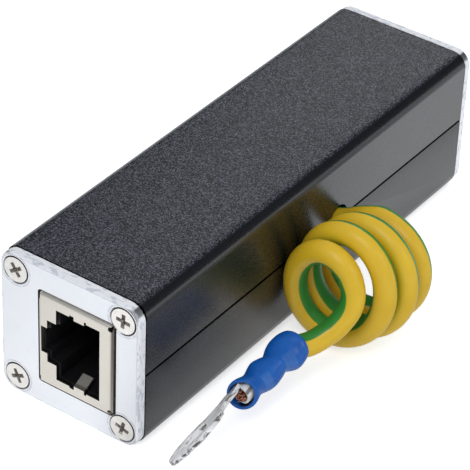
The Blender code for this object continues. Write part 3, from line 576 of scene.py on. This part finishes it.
caseLook = {
    "blastedFrom": 0.01225,                   # from the middle height: the top and the underside
    "seamHeight": 0.0128,
    "seamHalf": 0.00022,
    "jointFrom": 0.04176,                     # from the middle of the length: the end plates' joints
}


def anodisedBlack():
    paint = Paint("anodisedBlack", {"IOR": 1.72})
    grain = paint.noise(0.00028, 3.0, roughness=0.7)
    drawn = paint.noise(0.0006, 2.0, (1.0, 0.02, 1.0))
    mottled = paint.noise(0.011, 3.0)
    base = paint.mix(grain, (0.002, 0.003, 0.005), (0.013, 0.015, 0.019))
    # Painted glints: pale specks on the blasted faces, fine ones and fewer coarse ones, standing in for the
    # sparkle of light off the blasted grain
    blasted = abs(paint.axis("Z") - halfCase).above(caseLook["blastedFrom"], 0.00010)
    glintSpeck = paint.noise(0.00019, 1.0).above(0.57, 0.06)
    glintFlake = paint.cells(0.00024).above(0.86, 0.05)
    base = paint.mix(blasted * glintSpeck * 0.64, base, (0.165, 0.18, 0.225))
    base = paint.mix(blasted * glintFlake * 0.30, base, (0.19, 0.205, 0.25))
    # Painted shadow: the seam and the joints with the end plates are painted near black, as the shade in
    # those gaps
    seamShadow = abs(paint.axis("Z") - caseLook["seamHeight"]).below(caseLook["seamHalf"], 0.00006)
    joint = abs(paint.axis("Y")).above(caseLook["jointFrom"], 0.00006)
    gapShadow = paint.maths("MAXIMUM", seamShadow, joint)
    base = paint.mix(gapShadow, base, (0.001, 0.001, 0.001))
    rough = 0.22 + 0.08 * grain + 0.04 * mottled
    height = (0.15 + 0.75 * blasted) * grain + 0.1 * drawn
    return paint.finish(base, rough, height, 0.000050, metallic=gapShadow)


plateLook = {
    "screwPlace": 0.00965,                    # from the middle, across and up
    "shadeRingRadius": 0.00262,                     # of the painted shade ring round a countersink
    "shadeRingHalf": 0.00013,
    "rimFrom": 0.01215,                       # from the middle: the sheared edge
}


def zincPlate():
    paint = Paint("zincPlate")
    grain = paint.noise(0.0003, 4.0, roughness=0.65)
    cloud = paint.noise(0.0035, 3.0)
    rolled = paint.noise(0.0004, 3.0, (1.0, 1.0, 0.12))
    pit = paint.cells(0.0011, "Distance").below(0.10, 0.04)
    base = paint.mix(cloud, (0.74, 0.77, 0.81), (0.86, 0.87, 0.89))
    base = paint.mix(pit * 0.25, base, (0.50, 0.51, 0.56))
    # Painted shade: a broken grey ring round each countersink, where its wall lies in shade
    across, high = abs(paint.axis("X")), abs(paint.axis("Z") - halfCase)
    aside, over = across - plateLook["screwPlace"], high - plateLook["screwPlace"]
    reach = (aside * aside + over * over) ** 0.5
    shadeRing = abs(reach - plateLook["shadeRingRadius"]).below(plateLook["shadeRingHalf"], 0.00007)
    shadeRing = shadeRing * paint.noise(0.0009, 2.0).above(0.42, 0.12)
    base = paint.mix(shadeRing * 0.55, base, (0.42, 0.43, 0.47))
    # Sheared edge all round the plate: a run of bright and dull chips
    rim = paint.maths("MAXIMUM", across, high).above(plateLook["rimFrom"], 0.00006)
    chips = paint.noise(0.00048, 2.0, (0.4, 1.0, 0.4)).above(0.56, 0.04)
    base = paint.mix(rim, base, paint.mix(chips * 0.6, (0.96, 0.97, 0.99), (0.50, 0.55, 0.63)))
    rough = 0.30 + 0.16 * grain + 0.10 * cloud
    return paint.finish(base, rough, 0.6 * grain + 0.4 * rolled, 0.000012, metallic=1 - 0.8 * rim)


screwLook = {"recessFrom": 0.00022}           # behind the plate's outer face


def nickelScrew():
    paint = Paint("nickelScrew")
    grain = paint.noise(0.00025, 4.0, roughness=0.6)
    turned = paint.noise(0.0008, 2.0)
    base = paint.mix(turned, (0.66, 0.64, 0.60), (0.86, 0.84, 0.80))
    # Painted shade: the recess is painted darker than the head, with bright chips
    sunk = (caseMiddle - abs(paint.axis("Y"))).above(screwLook["recessFrom"], 0.0001)
    grit = paint.noise(0.00035, 3.0, roughness=0.7)
    mottled = paint.mix(grit.above(0.54, 0.06), (0.15, 0.12, 0.09), (0.72, 0.67, 0.60))
    base = paint.mix(sunk * 0.85, base, mottled)
    rough = 0.24 + 0.2 * grain + 0.25 * sunk
    return paint.finish(base, rough, grain + 2 * sunk * grit, 0.000015, metallic=1 - 0.75 * sunk)


shieldLook = {                                # from the middle: across, up and along
    "foldFrom": 0.00780,
    "endFrom": 0.00770,
    "fingerBefore": 0.04335,
}


def shieldSteel():
    paint = Paint("shieldSteel")
    brushed = paint.noise(0.0002, 3.0, (1.0, 0.2, 0.06))
    cloud = paint.noise(0.004, 2.0)
    base = paint.mix(cloud, (0.57, 0.54, 0.475), (0.69, 0.66, 0.60))
    # Painted shade: duller and darker where the sheet is folded back at the side, and paler at the ends and
    # on the fingers
    foldShade = paint.axis("X").above(shieldLook["foldFrom"], 0.00012)
    end = abs(paint.axis("Z") - halfCase).above(shieldLook["endFrom"], 0.00010)
    finger = abs(paint.axis("Y")).below(shieldLook["fingerBefore"], 0.00010)
    base = paint.mix(foldShade * 0.75, base, (0.30, 0.27, 0.23))
    metal = 1 - 0.6 * paint.maths("MAXIMUM", end * (1 - foldShade), 0.4 * finger)
    return paint.finish(base, 0.24 + 0.14 * brushed + 0.08 * cloud, brushed, 0.000006, metallic=metal)


def socketPlastic():
    paint = Paint("socketPlastic", {"IOR": 1.30})
    grain = paint.noise(0.0004, 3.0)
    base = paint.mix(grain, (0.005, 0.005, 0.006), (0.013, 0.013, 0.0148))
    return paint.finish(base, 0.42 + 0.2 * grain, grain, 0.000010)


def goldContact():
    paint = Paint("goldContact", {"Metallic": 1.0})
    grain = paint.noise(0.0004, 3.0)
    base = paint.mix(grain, (0.80, 0.56, 0.22), (0.90, 0.70, 0.34))
    return paint.finish(base, 0.18 + 0.15 * grain, grain, 0.000003)


boardLook = {"middle": -0.0064, "edgeHalf": 0.00078}   # across the case


def boardLaminate():
    paint = Paint("boardLaminate", {"IOR": 1.5})
    weave = paint.noise(0.0005, 2.0, (1.0, 1.0, 0.3))
    copper = paint.noise(0.0045, 1.0, (1.0, 0.3, 1.6)).above(0.53, 0.01)
    # Pale laminate on the faces, and green lacquer on the cut edges
    edge = abs(paint.axis("X") - boardLook["middle"]).below(boardLook["edgeHalf"], 0.00001)
    lacquer = paint.mix(copper, (0.012, 0.10, 0.035), (0.03, 0.20, 0.07))
    base = paint.mix(edge, (0.45, 0.44, 0.26), lacquer)
    return paint.finish(base, 0.25 + 0.15 * weave, copper + 0.3 * weave, 0.000020)


arresterLook = {"capFrom": 0.0028, "ringHalf": 0.0005}   # from the middle of its length


def arresterCeramic():
    paint = Paint("arresterCeramic")
    grain = paint.noise(0.0005, 3.0)
    far = abs(paint.axis("Z") - halfCase)
    cap, ring = far.above(arresterLook["capFrom"], 0.00003), far.below(arresterLook["ringHalf"], 0.00003)
    plated = paint.maths("MAXIMUM", cap, ring)
    base = paint.mix(plated, (0.82, 0.80, 0.76), (0.66, 0.65, 0.62))
    return paint.finish(base, 0.25 + 0.2 * grain, grain, 0.000006, metallic=plated)


diodeLook = {"footBelow": -0.00495}           # across the case


def diodeEpoxy():
    paint = Paint("diodeEpoxy")
    grain = paint.noise(0.0003, 3.0)
    foot = paint.axis("X").below(diodeLook["footBelow"], 0.00002)
    base = paint.mix(foot, (0.018, 0.018, 0.020), (0.68, 0.67, 0.65))
    return paint.finish(base, 0.5 - 0.2 * foot + 0.1 * grain, grain, 0.000010, metallic=foot)


def solderMetal():
    paint = Paint("solderMetal", {"Metallic": 1.0})
    grain = paint.noise(0.0008, 3.0)
    base = paint.mix(grain, (0.62, 0.62, 0.63), (0.80, 0.80, 0.82))
    return paint.finish(base, 0.16 + 0.25 * grain, grain, 0.00003)


wireLook = {"stripes": [(184, 42), (37, 30)]}   # middle and half width of each green one, in degrees


def wireInsulation():
    paint = Paint("wireInsulation", {"IOR": 1.48, "Coat Weight": 0.12, "Coat Roughness": 0.22})
    facing = paint.node("ShaderNodeAttribute", {"attribute_name": "facing"}, None, "Vector")
    wobble = paint.noise(0.004, 2.0)
    stripes = []
    for middle, half in wireLook["stripes"]:
        way = (math.cos(math.radians(middle)), math.sin(math.radians(middle)), 0.0)
        turned = paint.vectors("DOT_PRODUCT", facing, way) + 0.10 * wobble
        stripes.append(turned.above(math.cos(math.radians(half)) + 0.05, 0.035))
    cloud = paint.noise(0.0030, 3.0)
    yellow = paint.mix(cloud, (0.72, 0.45, 0.014), (0.82, 0.54, 0.024))
    green = paint.mix(cloud, (0.022, 0.20, 0.022), (0.045, 0.31, 0.040))
    base = paint.mix(paint.maths("MAXIMUM", *stripes), yellow, green)
    skin = paint.noise(0.0007, 3.0)
    return paint.finish(base, 0.36 + 0.12 * skin, skin, 0.000010)


sleeveLook = {
    "outward": (-0.78, -0.62),                # the crimped side, which also takes the painted highlight: across and up in the sleeve's own frame
    "patches": [(0.29, 0.085), (0.69, 0.070)],   # middle and half length, as shares of the sleeve's
    "patchFrom": 0.0014,                      # from the axis, on the crimped side
    "ridges": 210,                            # radians of their wave over the sleeve's length
    "boreRadius": 0.00188,
    "boreFrom": 0.88,                         # share of the length
}


def sleeveVinyl():
    paint = Paint("sleeveVinyl", {"IOR": 1.48, "Coat Weight": 0.15, "Coat Roughness": 0.2})
    skin = paint.noise(0.0006, 3.0)
    cloud = paint.noise(0.0022, 3.0)
    base = paint.mix(cloud, (0.0015, 0.078, 0.37), (0.006, 0.140, 0.54))
    turn, length = terminalFrame(terminal)
    start, axis = turn.translation, turn.col[1].to_3d()
    share = paint.along(start, axis) / length
    # The crimping tool's jaws left fine ridges on each bulge, on the outer side; there the patch is also
    # painted paler, as a painted highlight
    across, up = sleeveLook["outward"]
    outward = (across * turn.col[0] + up * turn.col[2]).to_3d()
    patches = [abs(share - middle).below(half, 0.01) for middle, half in sleeveLook["patches"]]
    crimped = paint.along(start, outward).above(sleeveLook["patchFrom"], 0.0002)
    ridgesAndSheen = paint.maths("MAXIMUM", *patches) * crimped
    ridges = paint.maths("SINE", share * sleeveLook["ridges"])
    base = paint.mix(ridgesAndSheen * (0.10 + 0.4 * cloud), base, (0.10, 0.28, 0.74))
    # Painted shade: the inside of the mouth is painted dark
    away = paint.vectors("CROSS_PRODUCT", paint.vectors("SUBTRACT", paint.place(), start), axis)
    bore = paint.vectors("LENGTH", away).below(sleeveLook["boreRadius"], 0.00006)
    base = paint.mix(bore * share.above(sleeveLook["boreFrom"], 0.01), base, (0.001, 0.008, 0.045))
    height = 0.5 * skin + 0.7 * cloud + 0.6 * ridgesAndSheen * ridges
    return paint.finish(base, 0.28 + 0.16 * skin, height, 0.00008)


ringLook = {"sideHalf": 0.00019, "sideFrom": 0.0015}   # up and along, in the ring's own frame


def tinnedCopper():
    paint = Paint("tinnedCopper", {"Metallic": 0.20})
    hammered = paint.noise(0.0011, 3.0)
    grain = paint.noise(0.00025, 3.0)
    darkStreakReflection = paint.noise(0.00055, 3.0, (1.0, 0.13, 0.6)).above(0.58, 0.03)
    # Painted reflection: the dark streaks on the near-white base stand in for the tin mirroring dark
    # surroundings
    base = paint.mix(grain, (0.95, 0.95, 0.95), (1.0, 1.0, 1.0))
    base = paint.mix(darkStreakReflection * 0.80, base, (0.10, 0.09, 0.08))
    # Painted shade: the sheet's sheared side is painted darker than its flats, as shade falls on it, with
    # bright chips
    start, forward, up = sheetPose.translation, sheetPose.col[1].to_3d(), sheetPose.col[2].to_3d()
    side = abs(paint.along(start, up) - terminal["sheetMiddle"]).below(ringLook["sideHalf"], 0.00005)
    shearedShade = side * paint.along(start, forward).above(ringLook["sideFrom"], 0.0003)
    chips = paint.noise(0.0009, 3.0, (1.0, 0.3, 1.0)).above(0.52, 0.05)
    base = paint.mix(shearedShade * (1 - chips) * 0.9, base, (0.07, 0.055, 0.045))
    return paint.finish(base, 0.10 + 0.14 * grain, 0.9 * hammered + 0.1 * grain, 0.00022)


def bareCopper():
    paint = Paint("bareCopper", {"Metallic": 1.0})
    grain = paint.noise(0.0003, 2.0)
    # Painted shade: most strands are painted near black, as they lie in the mouth's shade; the rest keep bare
    # copper's colour
    base = paint.mix(grain.above(0.5, 0.12), (0.10, 0.025, 0.010), (0.92, 0.50, 0.34))
    return paint.finish(base, 0.16 + 0.15 * grain, grain, 0.000008)


def dress(material, *names):
    for name in names:
        target = made.get(name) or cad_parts[name]
        target.data.materials.clear()
        target.data.materials.append(material)


dress(anodisedBlack(), "upperCase", "lowerCase")
dress(zincPlate(), "frontPlate", "rearPlate")
dress(nickelScrew(), *[f"{end}Screw{number}" for end in ends for number in range(1, 5)])
dress(shieldSteel(), "frontShield", "rearShield")
dress(socketPlastic(), "frontHousing", "rearHousing")
dress(goldContact(), *[f"{end}_contact_{number}" for end in ends for number in range(1, 9)])
dress(boardLaminate(), "circuit_board")
dress(arresterCeramic(), *[f"arrester_{number}" for number in range(1, 5)])
dress(diodeEpoxy(), *[f"diode_{number}" for number in range(1, 9)])
dress(solderMetal(), "earth_solder_joint")
dress(wireInsulation(), "earthWire")
dress(sleeveVinyl(), "terminalSleeve")
dress(tinnedCopper(), "ringTerminal")
dress(bareCopper(), "wireStrands")
print("materials made")


# Floor, world and lamps

studio = {
    "floorSize": 6.0,
    "floorTop": -0.00005,                     # just under the part, so that the two don't flicker
    "worldDiffuse": (0.62, 0.64, 0.68),
    "worldGlossy": (0.045, 0.047, 0.052),
    "floorGlow": 0.60,                        # the paper's own light, as the camera sees it
    "floorShine": 0.50,                       # the same, as the part mirrors it
    "mirrorSkew": 0.3,
    "mirrorRange": (-0.010, 0.110),
    # share of that range, how much of the paper's light comes back
    "mirrorStops": [(0.0, 0.78), (0.18, 1.0), (0.22, 1.0), (0.42, 0.16), (0.54, 0.16), (0.76, 0.85)],
    # name: place, size, power
    "lamps": {
        "backLeft": ((-0.43, 1.07, 0.59), 0.70, 1.05),
        "topFront": ((0.15, -0.60, 0.95), 0.55, 3.0),
        "right": ((0.95, 0.10, 0.60), 0.35, 1.10),
    },
}


def makeWorld(settings):
    world = bpy.data.worlds.new("studio")
    bpy.context.scene.world = world
    paint = Paint("studio", owner=world)
    light = paint.mix(paint.ray("Glossy"), settings["worldDiffuse"], settings["worldGlossy"])
    light = paint.mix(paint.ray("Camera"), light, (1.0, 1.0, 1.0))
    paint.link(light, paint.shader.inputs["Color"])


def floorPaper(settings):
    paint = Paint("floorPaper", {"Roughness": 1.0, "Specular IOR Level": 0.0, "Emission Strength": 1.0})
    seen, mirrored = paint.ray("Camera"), paint.ray("Glossy")
    # Mirrored in the part, the paper is brightest beside the case, then dark, then paler again far out
    away = paint.axis("X") - settings["mirrorSkew"] * paint.axis("Y")
    near, far = settings["mirrorRange"]
    span = {"Value": away, "From Min": near, "From Max": far}
    share = paint.node("ShaderNodeMapRange", {"clamp": True}, span)
    share = paint.node("ShaderNodeValToRGB", {"stops": settings["mirrorStops"]}, [share])
    base = paint.mix(mirrored * (1 - share), (0.93, 0.93, 0.93), (0.0, 0.0, 0.0))
    glow = settings["floorGlow"] * seen + settings["floorShine"] * mirrored * share
    paint.link(base, paint.shader.inputs["Base Color"])
    paint.link(glow, paint.shader.inputs["Emission Color"])
    return paint.owner


def makeFloor(settings):
    bm = bmesh.new()
    bmesh.ops.create_grid(bm, x_segments=1, y_segments=1, size=settings["floorSize"] / 2)
    bmesh.ops.translate(bm, vec=(0, 0, settings["floorTop"]), verts=bm.verts)
    mesh = bpy.data.meshes.new("floor")
    bm.to_mesh(mesh)
    bm.free()
    mesh.materials.append(floorPaper(settings))
    floor = bpy.data.objects.new("floor", mesh)
    bpy.context.scene.collection.objects.link(floor)


def makeLamps(settings):
    for name, (place, size, power) in settings["lamps"].items():
        lamp = bpy.data.lights.new(name, "AREA")
        lamp.shape = "SQUARE"
        lamp.size = size
        lamp.energy = power
        holder = bpy.data.objects.new(name, lamp)
        bpy.context.scene.collection.objects.link(holder)
        holder.location = place
        holder.rotation_mode = "QUATERNION"
        holder.rotation_quaternion = Vector(place).to_track_quat("Z", "Y")


bpy.context.scene.view_settings.view_transform = "Standard"
makeWorld(studio)
makeFloor(studio)
makeLamps(studio)
print("studio lit")
